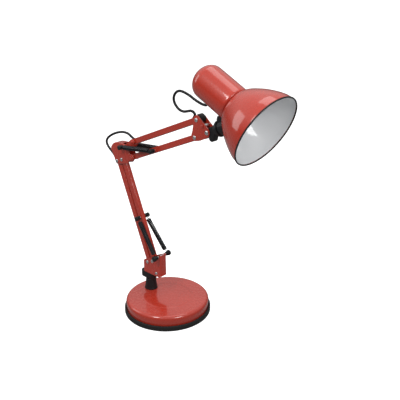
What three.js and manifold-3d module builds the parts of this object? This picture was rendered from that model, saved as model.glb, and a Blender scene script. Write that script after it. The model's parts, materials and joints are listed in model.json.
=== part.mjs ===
// Spring-balanced desk lamp: round weighted base, turning socket, two pairs of channel arms and a tilting
// bell shade. Millimetres. X forward (towards the shade), Y across the lamp, Z up, floor at z = 0, base
// centred on the origin.
import * as THREE from 'three';
import { mergeVertices } from 'three/addons/utils/BufferGeometryUtils.js';
import Module from 'manifold-3d';

const wasm = await Module();
wasm.setup();

// ---------- driving dimensions ----------
const GAP = 0.3; // running clearance between touching pieces
const BASE = { ringRadius: 85, coverRadius: 81.5, coverTop: 29.5, coverEdge: 7, wall: 1.4, ringHeight: 10 };
const POST = { x: -47, low: 12.2, high: 10, top: 52, bore: 5 };
const STUD_RADIUS = 4.5;
const SOCKET = { back: -62, front: -42, radius: 8, low: 52.3, top: 66 };
const CHEEK = { outer: 8.2, inner: 6.7 }; // half widths of the folded brackets
const CHANNEL = { width: 9, depth: 11, wall: 1.1 };
const RIVET = { shank: 2, head: 3.6, headHeight: 1.6 };
// sides are distances off the arm plane, at the bracket's end and at the bar's end of a spring
const SPRING = { radius: 4.6, wire: 1.1, bracketSide: 15.4, barSide: 10.8 };
const CAP = { bracket: 5.5, bar: 4.6 }; // radii of the spools' outer flanges
const CORD_RADIUS = 2.3;

// pivots in the arm plane, [x, z]
const REAR_LOW = [-46.5, 90];
const LOWER_ARM = [-79, 193.4];
const LOWER_LINK = 15;
const ELBOW_LOW = [-83, 299];
const UPPER_LINK = [4, 31];
const UPPER_ARM = [166, 71];
const TILT = [111, 383.5];
const LOW_SPRING_FOOT = [-14.5, 111.3];
const LOW_SPRING_HEIGHT = 90; // along the front bar from its foot pivot
const HIGH_SPRING_FOOT = [-103, 317];
const HIGH_SPRING_REACH = 67; // along the lower tube from its elbow pivot

const SHADE = { mouth: [226.7, 404.6], dip: 27.1, rim: 65.5, neck: 29.6, wall: 1.2 };

// ---------- small vector helpers in the arm plane ----------
const add = (a, b) => [a[0] + b[0], a[1] + b[1]];
const scale = (a, k) => [a[0] * k, a[1] * k];
const unit = (a) => scale(a, 1 / Math.hypot(a[0], a[1]));
const along = (from, direction, distance) => add(from, scale(direction, distance));
const lowerDirection = unit(LOWER_ARM);
const lowerFront = [lowerDirection[1], -lowerDirection[0]];
const upperDirection = unit(UPPER_ARM);
const upperTop = [-upperDirection[1], upperDirection[0]];
const FRONT_LOW = along(REAR_LOW, lowerFront, LOWER_LINK);
const REAR_HIGH = add(REAR_LOW, LOWER_ARM);
const FRONT_HIGH = add(FRONT_LOW, LOWER_ARM);
const ELBOW_HIGH = add(ELBOW_LOW, UPPER_LINK);
const HEAD_LOW = add(ELBOW_LOW, UPPER_ARM);
const HEAD_HIGH = add(ELBOW_HIGH, UPPER_ARM);
const LOW_SPRING_TOP = along(FRONT_LOW, lowerDirection, LOW_SPRING_HEIGHT);
const HIGH_SPRING_TOP = along(ELBOW_LOW, upperDirection, HIGH_SPRING_REACH);
const DIP = (SHADE.dip * Math.PI) / 180;
const shadeAxis = [Math.cos(DIP), -Math.sin(DIP)];
const shadeUp = [Math.sin(DIP), Math.cos(DIP)];
const shadePoint = (behind, above) => along(along(SHADE.mouth, shadeAxis, -behind), shadeUp, above);

// ---------- colours ----------
const RED = { color: 0xb8402f, roughness: 0.32, metalness: 0 };
const RUBBER = { color: 0x141414, roughness: 0.75, metalness: 0 };
const PLASTIC = { color: 0x17181a, roughness: 0.5, metalness: 0 };
const IRON = { color: 0x4a4a4c, roughness: 0.7, metalness: 0.8 };
const STEEL = { color: 0xb9bbbd, roughness: 0.35, metalness: 1 };
const SPRING_STEEL = { color: 0x3a3c40, roughness: 0.4, metalness: 0.9 };
const BRASS = { color: 0xb89a55, roughness: 0.35, metalness: 1 };
const CORD = { color: 0x101011, roughness: 0.6, metalness: 0 };

const lamp = new THREE.Group();
lamp.name = 'desk_lamp';

// ---------- solids ----------
function toSolid(geometry) {
  const bare = geometry.clone();
  bare.deleteAttribute('normal');
  bare.deleteAttribute('uv');
  const welded = mergeVertices(bare, 1e-4);
  return new wasm.Manifold(
    new wasm.Mesh({
      numProp: 3,
      vertProperties: new Float32Array(welded.attributes.position.array),
      triVerts: new Uint32Array(welded.index.array),
    }),
  );
}

function toGeometry(solid) {
  const mesh = solid.getMesh();
  const geometry = new THREE.BufferGeometry();
  geometry.setAttribute('position', new THREE.BufferAttribute(new Float32Array(mesh.vertProperties), 3));
  geometry.setIndex(new THREE.BufferAttribute(new Uint32Array(mesh.triVerts), 1));
  geometry.computeVertexNormals();
  return geometry;
}

function place(name, shape, finish) {
  const geometry = shape.isBufferGeometry ? shape : toGeometry(shape);
  const mesh = new THREE.Mesh(geometry, new THREE.MeshStandardMaterial(finish));
  mesh.name = name;
  lamp.add(mesh);
  return mesh;
}

// a profile of [radius, height] pairs turned about Z
function turned(profile, segments = 32) {
  const points = profile.map(([radius, height]) => new THREE.Vector2(Math.max(radius, 0), height));
  if (profile[0][0] > 0) points.push(points[0].clone());
  return new THREE.LatheGeometry(points, segments).rotateX(Math.PI / 2);
}

// an outline in the arm plane, given a thickness from y = low to y = high
function plate(outline, low, high) {
  const shape = new THREE.Shape(outline.map(([x, z]) => new THREE.Vector2(x, z)));
  const body = new THREE.ExtrudeGeometry(shape, { depth: high - low, bevelEnabled: false });
  return toSolid(body.rotateX(Math.PI / 2).translate(0, high, 0));
}

// a round bar along Z, for bores and studs
function upright(radius, length, segments = 24) {
  return toSolid(new THREE.CylinderGeometry(radius, radius, length, segments).rotateX(Math.PI / 2));
}

function pin(centre, radius, low, high, segments = 16) {
  const body = new THREE.CylinderGeometry(radius, radius, high - low, segments);
  return toSolid(body.translate(centre[0], (low + high) / 2, centre[1]));
}

// a bar with round ends from one point to another in the arm plane
function strap(from, to, radius, low, high) {
  const direction = unit(add(to, scale(from, -1)));
  const side = [-direction[1], direction[0]];
  const outline = [
    along(from, side, -radius),
    along(to, side, -radius),
    along(to, side, radius),
    along(from, side, radius),
  ];
  const ends = pin(from, radius, low, high, 20).add(pin(to, radius, low, high, 20));
  return plate(outline, low, high).add(ends);
}

// a body turned about Z carried so that its axis runs across the lamp at a point of the arm plane
function across(profile, centre, segments = 16) {
  return toSolid(turned(profile, segments).rotateX(-Math.PI / 2).translate(centre[0], 0, centre[1]));
}

// a body turned about Z carried so that its axis leans along a direction of the arm plane
function leaning(geometry, origin, direction) {
  const angle = Math.atan2(direction[0], direction[1]);
  return toSolid(geometry.clone().rotateY(angle).translate(origin[0], 0, origin[1]));
}

function tube(points, radius, sides, steps) {
  const path = new THREE.CatmullRomCurve3(points.map((p) => new THREE.Vector3(...p)), false, 'centripetal');
  const section = new THREE.Shape();
  for (let i = 0; i < sides; i += 1) {
    const turn = (i / sides) * 2 * Math.PI;
    const corner = [radius * Math.cos(turn), radius * Math.sin(turn)];
    if (i === 0) section.moveTo(...corner);
    else section.lineTo(...corner);
  }
  return new THREE.ExtrudeGeometry(section, { steps, extrudePath: path, bevelEnabled: false });
}

// ---------- base ----------
const coverInner = BASE.coverRadius - BASE.wall;
const coverFoot = 2.6;
function roundedEdge(radius, top, edge, count) {
  const points = [];
  for (let i = 0; i <= count; i += 1) {
    const turn = (i / count) * (Math.PI / 2);
    points.push([radius - edge + edge * Math.cos(turn), top - edge + edge * Math.sin(turn)]);
  }
  return points;
}
const coverOutside = roundedEdge(BASE.coverRadius, BASE.coverTop, BASE.coverEdge, 4);
const coverInsideTop = BASE.coverTop - BASE.wall;
const coverInside = roundedEdge(coverInner, coverInsideTop, BASE.coverEdge - BASE.wall, 3).reverse();
const coverProfile = [
  [BASE.coverRadius, coverFoot],
  ...coverOutside,
  [0, BASE.coverTop],
  [0, BASE.coverTop - BASE.wall],
  ...coverInside,
  [coverInner, coverFoot],
];
const studHole = upright(POST.bore, 80).translate(POST.x, 0, 20);
function closedTurn(profile, segments) {
  const points = [...profile, profile[0]].map(([radius, height]) => new THREE.Vector2(radius, height));
  return toSolid(new THREE.LatheGeometry(points, segments).rotateX(Math.PI / 2));
}
place('base_cover', closedTurn(coverProfile, 44).subtract(studHole), RED);

const ringInner = BASE.coverRadius + GAP;
place(
  'base_rim_ring',
  closedTurn(
    [
      [0, 0],
      [BASE.ringRadius - 1.2, 0],
      [BASE.ringRadius, 1.2],
      [BASE.ringRadius, BASE.ringHeight - 1.5],
      [BASE.ringRadius - 1.2, BASE.ringHeight],
      [ringInner, BASE.ringHeight],
      [ringInner, 2.3],
      [0, 2.3],
    ],
    44,
  ),
  RUBBER,
);
const plateTop = 3.8;
place(
  'base_bottom_plate',
  closedTurn([[0, 2.6], [coverInner - GAP, 2.6], [coverInner - GAP, plateTop], [0, plateTop]], 36),
  STEEL,
);
const weightTop = 20;
const nutPocket = upright(12, 30).translate(POST.x, 0, 27);
place(
  'base_weight',
  closedTurn(
    [[0, plateTop + GAP], [74, plateTop + GAP], [76, 6], [76, 17], [73, weightTop], [0, weightTop]],
    32,
  )
    .subtract(nutPocket),
  IRON,
);
const nutTop = BASE.coverTop - BASE.wall - GAP;
const nutLow = nutTop - 6;
const hexagon = upright(8.5, nutTop - nutLow, 6);
const nutBore = upright(STUD_RADIUS + GAP, 20);
place('stud_nut', hexagon.subtract(nutBore).translate(POST.x, 0, (nutTop + nutLow) / 2), STEEL);
const studLow = nutLow - 4;
const studTop = SOCKET.top - 3;
place(
  'swivel_stud',
  toSolid(
    turned(
      [[0, studLow], [STUD_RADIUS - 0.5, studLow], [STUD_RADIUS, studLow + 0.6], [STUD_RADIUS, studTop - 0.8],
        [STUD_RADIUS - 0.8, studTop], [0, studTop]],
      24,
    ),
  ).translate(POST.x, 0, 0),
  STEEL,
);
const postFoot = BASE.coverTop + GAP;
place(
  'post_sleeve',
  closedTurn(
    [
      [POST.bore, postFoot],
      [POST.low + 0.6, postFoot],
      [POST.low, postFoot + 2],
      [POST.high, POST.top - 1.5],
      [POST.high - 0.8, POST.top],
      [POST.bore, POST.top],
    ],
    32,
  ).translate(POST.x, 0, 0),
  PLASTIC,
);

// ---------- turning socket and foot bracket ----------
const socketShape = new THREE.Shape();
socketShape.absarc(SOCKET.front, 0, SOCKET.radius, -Math.PI / 2, Math.PI / 2, false);
socketShape.absarc(SOCKET.back, 0, SOCKET.radius, Math.PI / 2, (3 * Math.PI) / 2, false);
const socketBlock = toSolid(
  new THREE.ExtrudeGeometry(socketShape, {
    depth: SOCKET.top - SOCKET.low,
    bevelEnabled: false,
    curveSegments: 10,
  }).translate(0, 0, SOCKET.low),
);
const tongueHalf = CHEEK.inner - GAP;
const tongueOutline = [
  [-46, 60],
  [-35.5, 60],
  [-33, 66.6],
  [-14, 66.6],
  [-14, 79],
  [-27, 79],
  [-33, 73],
  [-37, 66],
  [-46, 66],
];
const tongue = plate(tongueOutline, -tongueHalf, tongueHalf);
const socketBore = upright(STUD_RADIUS + GAP, 40).translate(POST.x, 0, studTop + 0.7 - 20);
const BRACKET_RIVET = [-21.5, 73];
const shankHole = (centre, clearance = GAP) => pin(centre, RIVET.shank + clearance, -30, 30, 12);
place(
  'swivel_socket',
  socketBlock.add(tongue).subtract(socketBore).subtract(shankHole(BRACKET_RIVET)),
  PLASTIC,
);

const bracketFloor = SOCKET.top + GAP;
const footOutline = [
  [-56.5, bracketFloor],
  [-11, bracketFloor],
  [-9.2, bracketFloor + 1.8],
  [-9.2, 113.5],
  [-10.8, 115.3],
  [-14, 114.6],
  [-54.5, 94],
  [-57.5, 90],
  [-57.5, bracketFloor + 1],
];
const frontWall = 1.5;
const footInside = plate(
  [[-70, bracketFloor - 5], [-9.2 - frontWall, bracketFloor - 5], [-9.2 - frontWall, 130], [-70, 130]],
  -CHEEK.inner,
  CHEEK.inner,
);
place(
  'foot_bracket',
  plate(footOutline, -CHEEK.outer, CHEEK.outer)
    .subtract(footInside)
    .subtract(shankHole(BRACKET_RIVET))
    .subtract(shankHole(REAR_LOW))
    .subtract(shankHole(FRONT_LOW))
    .subtract(shankHole(LOW_SPRING_FOOT)),
  RED,
);

// a rivet across a pair of cheeks: two domed heads on one shank
function rivet(name, centre, finish = STEEL, headRadius = RIVET.head) {
  const seat = CHEEK.outer + GAP;
  const half = [
    [RIVET.shank, seat],
    [headRadius, seat],
    [headRadius * 0.86, seat + RIVET.headHeight * 0.62],
    [headRadius * 0.45, seat + RIVET.headHeight],
    [0, seat + RIVET.headHeight],
  ];
  const profile = [...half.map(([r, h]) => [r, -h]).reverse(), ...half];
  place(name, across(profile, centre, 10), finish);
}
rivet('socket_rivet', BRACKET_RIVET);
rivet('rear_bar_foot_rivet', REAR_LOW);
rivet('front_bar_foot_rivet', FRONT_LOW);

// ---------- channel arms ----------
// back is the side that the web of the channel is on; the other side is open
function channel(from, to, back, extra, noWeb = [0, 0]) {
  const direction = unit(add(to, scale(from, -1)));
  const length = Math.hypot(to[0] - from[0], to[1] - from[1]);
  const half = CHANNEL.depth / 2;
  const wide = CHANNEL.width / 2;
  const solid = strap(from, to, half, -wide, wide);
  const inner = wide - CHANNEL.wall;
  const start = along(along(from, direction, -half - 5), back, half - CHANNEL.wall);
  const end = along(start, direction, length + CHANNEL.depth + 10);
  const trough = plate([start, end, along(end, back, -20), along(start, back, -20)], -inner, inner);
  let bar = solid.subtract(trough);
  [[from, -1, noWeb[0]], [to, 1, noWeb[1]]].forEach(([point, sense, cut]) => {
    const near = along(point, direction, -sense * cut);
    const far = along(point, direction, sense * 20);
    const window = [
      along(near, back, 20),
      along(far, back, 20),
      along(far, back, -20),
      along(near, back, -20),
    ];
    bar = bar.subtract(plate(window, -inner, inner));
  });
  extra.forEach((hole) => {
    bar = bar.subtract(hole);
  });
  return bar;
}
const endHoles = (a, b, looseEnd = GAP) => [shankHole(a), shankHole(b, looseEnd)];
const OPEN_PIVOT = 0.7; // clearance at the pivots that close the two linkages

place(
  'rear_bar',
  channel(REAR_LOW, REAR_HIGH, lowerFront, endHoles(REAR_LOW, REAR_HIGH), [3, 3]),
  RED,
);
place(
  'front_bar',
  channel(FRONT_LOW, FRONT_HIGH, lowerFront, [
    ...endHoles(FRONT_LOW, FRONT_HIGH, OPEN_PIVOT),
    shankHole(LOW_SPRING_TOP),
  ], [3, 3]),
  RED,
);
place(
  'lower_tube',
  channel(ELBOW_LOW, HEAD_LOW, scale(upperTop, -1), [
    ...endHoles(ELBOW_LOW, HEAD_LOW, OPEN_PIVOT),
    shankHole(HIGH_SPRING_TOP),
  ], [3, 3]),
  RED,
);
place(
  'upper_tube',
  channel(ELBOW_HIGH, HEAD_HIGH, scale(upperTop, -1), endHoles(ELBOW_HIGH, HEAD_HIGH), [3, 11]),
  RED,
);

// ---------- elbow bracket ----------
const elbowOutline = [
  [-127.5, 276.5],
  [-94, 284.5],
  [-87.5, 291],
  [-88.5, 318],
  [-98, 321.2],
  [-108, 322.6],
  [-118, 322.6],
  [-128, 320.8],
  [-136, 316.8],
  [-141.5, 310.5],
  [-143.5, 303],
];
const elbowBlank = plate(elbowOutline, -CHEEK.outer, CHEEK.outer)
  .add(strap([-92, 297], ELBOW_LOW, 6.2, -CHEEK.outer, CHEEK.outer))
  .add(strap([-96, 316], ELBOW_HIGH, 5.8, -CHEEK.outer, CHEEK.outer));
// the room between the cheeks, leaving the folded strip over the top
const elbowRoom = plate(
  [
    [-160, 260],
    [-60, 260],
    [-60, 345],
    [-106, 345],
    [-106.5, 321.1],
    [-118, 321.1],
    [-127.5, 319.4],
    [-135, 315.6],
    [-140.1, 309.8],
    [-141.6, 304.2],
    [-160, 304.2],
  ],
  -CHEEK.inner,
  CHEEK.inner,
);
place(
  'elbow_bracket',
  elbowBlank
    .subtract(elbowRoom)
    .subtract(shankHole(REAR_HIGH))
    .subtract(shankHole(FRONT_HIGH))
    .subtract(shankHole(ELBOW_LOW))
    .subtract(shankHole(ELBOW_HIGH))
    .subtract(shankHole(HIGH_SPRING_FOOT)),
  RED,
);
rivet('rear_bar_top_rivet', REAR_HIGH);
rivet('front_bar_top_rivet', FRONT_HIGH);
rivet('lower_tube_elbow_rivet', ELBOW_LOW, RED, 3.4);
rivet('upper_tube_elbow_rivet', ELBOW_HIGH, RED, 3.4);

// ---------- spring pins, spools and springs ----------
// The springs stand wide at the bracket and run in towards the narrower bar.
const neckInner = 2.4;
const neckOuter = 2.2;
function springPin(name, centre, side) {
  const end = side + neckOuter + 3.2;
  place(name, pin(centre, RIVET.shank, -end, end, 12), STEEL);
}
// a plastic spool on the pin: a narrow neck for the spring's eye between a small and a large flange
function spool(name, centre, side, capRadius) {
  const bore = RIVET.shank + GAP;
  const sense = Math.sign(side);
  const inner = Math.abs(side) - neckInner;
  const outer = Math.abs(side) + neckOuter;
  const profile = [
    [bore, inner - 1.2],
    [4, inner - 1.2],
    [4, inner],
    [3, inner + 0.3],
    [3, outer],
    [capRadius - 0.2, outer],
    [capRadius, outer + 1],
    [capRadius - 0.2, outer + 3.6],
    [capRadius - 1.2, outer + 4.6],
    [0, outer + 4.6],
    [0, outer + 3.5],
    [bore, outer + 3.5],
  ].map(([r, h]) => [r, sense * h]);
  const loop = side > 0 ? profile : profile.reverse();
  const points = [...loop, loop[0]].map(([r, h]) => new THREE.Vector2(r, h));
  const body = new THREE.LatheGeometry(points, 12).translate(centre[0], 0, centre[1]);
  place(name, toSolid(body), PLASTIC);
}
// a closely wound tension spring with a wire eye round a spool neck at each end
function spring(name, from, to, fromSide, toSide) {
  const direction = unit(add(to, scale(from, -1)));
  const length = Math.hypot(to[0] - from[0], to[1] - from[1]);
  const eye = 3 + GAP + SPRING.wire;
  const start = eye + 3.4;
  const end = length - start;
  const ridges = 9;
  const pitch = (end - start) / ridges;
  const profile = [[0, start]];
  for (let i = 0; i < ridges; i += 1) {
    profile.push([SPRING.radius - 0.9, start + i * pitch]);
    profile.push([SPRING.radius, start + (i + 0.5) * pitch]);
  }
  profile.push([SPRING.radius - 0.9, end]);
  profile.push([0, end]);
  let body = leaning(turned(profile, 10), from, direction);
  [[from, 1], [to, -1]].forEach(([centre, sense]) => {
    const ring = new THREE.TorusGeometry(eye, SPRING.wire * 0.8, 5, 14).rotateX(Math.PI / 2);
    body = body.add(toSolid(ring).translate(centre[0], 0, centre[1]));
    const neckFrom = along(centre, direction, sense * (eye - 0.4));
    const neck = [neckFrom, along(centre, direction, sense * (start + 1.5))];
    const wire = tube(neck.map(([x, z]) => [x, 0, z]), SPRING.wire * 0.8, 5, 1);
    body = body.add(toSolid(wire));
  });
  // the distance off the arm plane grows evenly along the spring
  const splay = scale(direction, (toSide - fromSide) / length);
  place(
    name,
    body.warp((vertex) => {
      vertex[1] += fromSide + splay[0] * (vertex[0] - from[0]) + splay[1] * (vertex[2] - from[1]);
    }),
    SPRING_STEEL,
  );
}
[
  ['lower', LOW_SPRING_FOOT, LOW_SPRING_TOP, 'foot', 'bar', CAP.bracket],
  ['upper', HIGH_SPRING_FOOT, HIGH_SPRING_TOP, 'elbow', 'tube', CAP.bar],
].forEach(([level, from, to, fromName, toName, fromCap]) => {
  springPin(`${fromName}_spring_pin`, from, SPRING.bracketSide);
  springPin(`${toName}_spring_pin`, to, SPRING.barSide);
  [['near', -1], ['far', 1]].forEach(([sideName, side]) => {
    spool(`${fromName}_spool_${sideName}`, from, side * SPRING.bracketSide, fromCap);
    spool(`${toName}_spool_${sideName}`, to, side * SPRING.barSide, CAP.bar);
    spring(`${level}_spring_${sideName}`, from, to, side * SPRING.bracketSide, side * SPRING.barSide);
  });
});

// ---------- head bracket ----------
const headOutline = [
  [75.2, 370],
  [77.5, 365.8],
  [83, 363.6],
  [95, 366.5],
  [110, 373.6],
  [115.4, 378],
  [116.6, 384],
  [114.4, 390],
  [101.5, 400],
  [91.5, 408.8],
  [85.8, 409.6],
  [80.2, 405.5],
  [79, 400],
  [79.5, 392],
  [77.5, 380],
  [75.2, 374.5],
];
const HEAD_SPACER = [100.5, 392.5];
[['near', -1], ['far', 1]].forEach(([sideName, side]) => {
  const low = side < 0 ? -CHEEK.outer : CHEEK.inner;
  place(
    `head_cheek_${sideName}`,
    plate(headOutline, low, low + CHEEK.outer - CHEEK.inner)
      .subtract(shankHole(HEAD_LOW))
      .subtract(shankHole(HEAD_HIGH))
      .subtract(shankHole(TILT))
      .subtract(shankHole(HEAD_SPACER)),
    RED,
  );
});
rivet('lower_tube_head_rivet', HEAD_LOW);
rivet('upper_tube_head_rivet', HEAD_HIGH);
rivet('head_spacer_rivet', HEAD_SPACER, RED, 3.2);
const spacerHalf = CHEEK.inner - GAP;
const spacerBore = RIVET.shank + GAP;
place(
  'head_spacer',
  across([[spacerBore, -spacerHalf], [3.4, -spacerHalf], [3.4, spacerHalf], [spacerBore, spacerHalf]],
    HEAD_SPACER, 14),
  STEEL,
);
// the plastic guide on the upper rivet: a hub inside the end of the tube and a hood in front of it
const guideHub = CHANNEL.depth / 2 + 0.9;
const guideHood = 10;
const hubHalf = CHANNEL.width / 2 - CHANNEL.wall - GAP;
const arcPoints = (centre, radius, fromDegrees, toDegrees, count) =>
  Array.from({ length: count + 1 }, (unused, i) => {
    const turn = ((fromDegrees + ((toDegrees - fromDegrees) * i) / count) * Math.PI) / 180;
    return [centre[0] + radius * Math.cos(turn), centre[1] + radius * Math.sin(turn)];
  });
const hoodOutline = [
  ...arcPoints(HEAD_HIGH, guideHub - 0.2, -10, 88, 8),
  ...arcPoints(HEAD_HIGH, guideHood, 88, -10, 8),
];
place(
  'cord_guide',
  pin(HEAD_HIGH, guideHub, -hubHalf, hubHalf, 24)
    .add(plate(hoodOutline, -spacerHalf, spacerHalf))
    .subtract(shankHole(HEAD_HIGH)),
  PLASTIC,
);

// ---------- tilt knuckle ----------
const knuckleTurn = (24 * Math.PI) / 180;
const stemDirection = [Math.cos(knuckleTurn), Math.sin(knuckleTurn)];
const stemAt = (distance) => along(TILT, stemDirection, distance);
const PAD = { low: 22, thick: 5, radius: 13.4 };
const padDisc = leaning(
  turned([[0, 0], [PAD.radius, 0], [PAD.radius + 0.6, 0.8], [PAD.radius + 0.6, PAD.thick - 0.8],
    [PAD.radius, PAD.thick], [0, PAD.thick]], 28),
  stemAt(PAD.low),
  stemDirection,
);
const knuckleBarrel = strap(TILT, stemAt(PAD.low - 5), 7.2, -spacerHalf, spacerHalf);
const knuckleLobe = strap([120.5, 384], [118.8, 374.5], 5.8, -spacerHalf, spacerHalf);
const stemBore = leaning(
  new THREE.CylinderGeometry(3.3, 3.3, 30, 16).rotateX(Math.PI / 2),
  stemAt(PAD.low + 6),
  stemDirection,
);
place(
  'tilt_knuckle',
  knuckleBarrel.add(padDisc).add(knuckleLobe).subtract(shankHole(TILT)).subtract(stemBore),
  PLASTIC,
);
const boltEnd = CHEEK.outer + 12;
place(
  'tilt_bolt',
  across(
    [
      [0, -CHEEK.outer - GAP - 2],
      [2, -CHEEK.outer - GAP - 1.8],
      [3.8, -CHEEK.outer - GAP - 1],
      [4, -CHEEK.outer - GAP],
      [RIVET.shank, -CHEEK.outer - GAP],
      [RIVET.shank, boltEnd],
      [0, boltEnd],
    ],
    TILT,
    16,
  ),
  STEEL,
);
const lobes = 7;
const knobOutline = Array.from({ length: lobes * 6 }, (unused, i) => {
  const turn = (i / (lobes * 6)) * 2 * Math.PI;
  return along(TILT, [Math.cos(turn), Math.sin(turn)], 9 + 0.8 * Math.cos(lobes * turn));
});
const knobLow = CHEEK.outer + GAP + 2.4;
place(
  'tilt_knob',
  plate(knobOutline, knobLow, knobLow + 9)
    .add(pin(TILT, 5.4, CHEEK.outer + GAP, knobLow + 1, 20))
    .subtract(pin(TILT, RIVET.shank + GAP, 0, boltEnd + GAP)),
  PLASTIC,
);

// ---------- shade ----------
// [distance behind the mouth, radius] of the outside of the bell
const bellOutside = [
  [1.4, 65.4], [12, 63.6], [25, 59], [38, 53], [50, 46], [60, 39], [66, 33], [68.6, 28.4],
];
function offsetInside(profile, wall) {
  return profile.map(([t, r], i) => {
    const before = profile[Math.max(i - 1, 0)];
    const after = profile[Math.min(i + 1, profile.length - 1)];
    const slope = [after[0] - before[0], after[1] - before[1]];
    const size = Math.hypot(...slope);
    return [t + (wall * slope[1]) / size, r - (wall * slope[0]) / size];
  });
}
const neckHole = 21;
const bellInside = offsetInside(bellOutside, SHADE.wall);
const neckPlane = 68.8;
const bellLoop = [
  ...bellOutside,
  [neckPlane, 26.5],
  [neckPlane, neckHole],
  [neckPlane - SHADE.wall, neckHole],
  ...bellInside.slice(0, -1).reverse().filter(([t, r]) => r > 27.5 && t < 66.6),
];
// heights are measured backwards from the mouth along the shade's axis
function shadeTurn(loop, segments) {
  const points = [...loop, loop[0]].map(([t, r]) => new THREE.Vector2(r, t));
  const body = new THREE.LatheGeometry(points, segments).rotateX(Math.PI / 2);
  return leaning(body, SHADE.mouth, scale(shadeAxis, -1));
}
place('shade_bell', shadeTurn(bellLoop, 40), RED);

const trimRadius = 1.25;
const trim = [];
for (let i = 0; i < 6; i += 1) {
  const turn = (i / 6) * 2 * Math.PI;
  trim.push([-0.2 + trimRadius * Math.sin(turn), 64.8 + trimRadius * Math.cos(turn)]);
}
place('shade_rim_bead', shadeTurn(trim, 40), RUBBER);

const capFoot = neckPlane + GAP;
const capShoulder = 134;
const capDepth = 23.5;
const capArc = (radius, depth, count) => {
  const arc = [];
  for (let i = 0; i <= count; i += 1) {
    const turn = (i / count) * (Math.PI / 2);
    arc.push([capShoulder + depth * Math.sin(turn), radius * Math.cos(turn)]);
  }
  arc[count][1] = 0;
  return arc;
};
const capInner = SHADE.neck - SHADE.wall;
const capSolid = shadeTurn(
  [
    [capFoot, 26.2],
    [capFoot + 2.2, 28.9],
    [capFoot + 4.5, SHADE.neck],
    ...capArc(SHADE.neck, capDepth, 6),
    ...capArc(capInner, capDepth - SHADE.wall, 4).reverse(),
    [capFoot + 5, capInner],
    [capFoot + 3, capInner - 1.2],
    [capFoot + SHADE.wall, 26],
    [capFoot + SHADE.wall, 23.5],
    [capFoot, 23.5],
  ],
  32,
);
const glandCentre = shadePoint(121, -SHADE.neck);
const glandDirection = scale(shadeUp, -1);
const glandHole = leaning(
  new THREE.CylinderGeometry(3.4 + GAP, 3.4 + GAP, 12, 16).rotateX(Math.PI / 2),
  glandCentre,
  glandDirection,
);
place('shade_cap', capSolid.subtract(glandHole), RED);
place(
  'cord_gland',
  leaning(
    turned(
      [
        [CORD_RADIUS + GAP, -3.4],
        [3.4, -3.4],
        [3.4, 1.2],
        [5, 1.2],
        [4.8, 2.2],
        [3.8, 3.4],
        [CORD_RADIUS + GAP, 3.4],
      ],
      16,
    ),
    glandCentre,
    glandDirection,
  ),
  PLASTIC,
);

// lampholder inside the neck
place(
  'holder_body',
  shadeTurn(
    [
      [66, 19], [66, 20.4], [capFoot + SHADE.wall + GAP, 20.4], [capFoot + SHADE.wall + GAP, 23], [90, 23],
      [94, 20], [112, 18.5], [118, 14], [118, 4], [114, 4], [114, 12], [92, 16.2], [92, 19],
    ],
    20,
  ),
  PLASTIC,
);
place(
  'holder_ring',
  shadeTurn([[62, 20.8], [62, 25], [66.2, 25], [66.2, 20.8]], 24),
  PLASTIC,
);
place(
  'holder_screw_shell',
  shadeTurn(
    [[67, 13.9], [67, 14.8], [90, 14.8], [90, 3.4], [89, 3.4], [89, 13.9]],
    18,
  ),
  BRASS,
);
place('holder_contact', shadeTurn([[86.4, 0], [86.4, 2.6], [96, 2.6], [96, 0]], 12), BRASS);

// the saddle between the pad of the knuckle and the shoulder of the bell
const bellGrown = bellOutside.map(([behind, radius]) => [behind, radius + 0.5]);
const shadeFilled = shadeTurn([[0, 0], [0, 65.8], ...bellGrown, [neckPlane, 0]], 48)
  .add(
    shadeTurn([[60, 0], [60, 28], [capFoot + 4, SHADE.neck + 0.5], [150, SHADE.neck + 0.5], [150, 0]], 40),
  );
const saddleFoot = PAD.low + PAD.thick + GAP;
const saddleRound = leaning(
  turned([[0, 0], [11.5, 0], [12.5, 1.2], [12.5, 34], [0, 34]], 24),
  stemAt(saddleFoot),
  stemDirection,
);
// a lip on the saddle that reaches up behind the crease of the neck; [along the stem, above it]
const stemUp = [-stemDirection[1], stemDirection[0]];
const lip = [[saddleFoot + 1, 6], [saddleFoot + 2.5, 16], [saddleFoot + 6, 20], [62, 20], [62, 6]].map(
  ([distance, above]) => along(stemAt(distance), stemUp, above),
);
place(
  'shade_saddle',
  saddleRound.add(plate(lip, -8, 8)).subtract(shadeFilled).subtract(stemBore),
  PLASTIC,
);

// ---------- cord ----------
const channelBed = (from, direction, back, distance, depth) =>
  along(along(from, direction, distance), back, depth);
const bedDepth = CHANNEL.depth / 2 - CHANNEL.wall - CORD_RADIUS - 2 * GAP;
const lowerLength = Math.hypot(...LOWER_ARM);
const upperLength = Math.hypot(...UPPER_ARM);
const inPlane = (points) => points.map(([x, z]) => [x, 0, z]);
const rearBed = (distance, depth = bedDepth) =>
  channelBed(REAR_LOW, lowerDirection, lowerFront, distance, depth);
const upperBed = (distance, depth = -bedDepth) =>
  channelBed(ELBOW_HIGH, upperDirection, upperTop, distance, depth);
const overShank = RIVET.shank + GAP + CORD_RADIUS + 0.2;
place(
  'cord_lower_run',
  tube(
    inPlane([
      rearBed(14), rearBed(60), rearBed(110), rearBed(160), rearBed(lowerLength - 24),
      rearBed(lowerLength - 12, -2.4),
    ]),
    CORD_RADIUS,
    8,
    16,
  ),
  CORD,
);
place(
  'cord_upper_run',
  tube(
    inPlane([
      upperBed(12, 1.6), upperBed(24), upperBed(60), upperBed(110), upperBed(upperLength - 30),
      upperBed(upperLength - 18, 0.4),
    ]),
    CORD_RADIUS,
    8,
    14,
  ),
  CORD,
);
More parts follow.
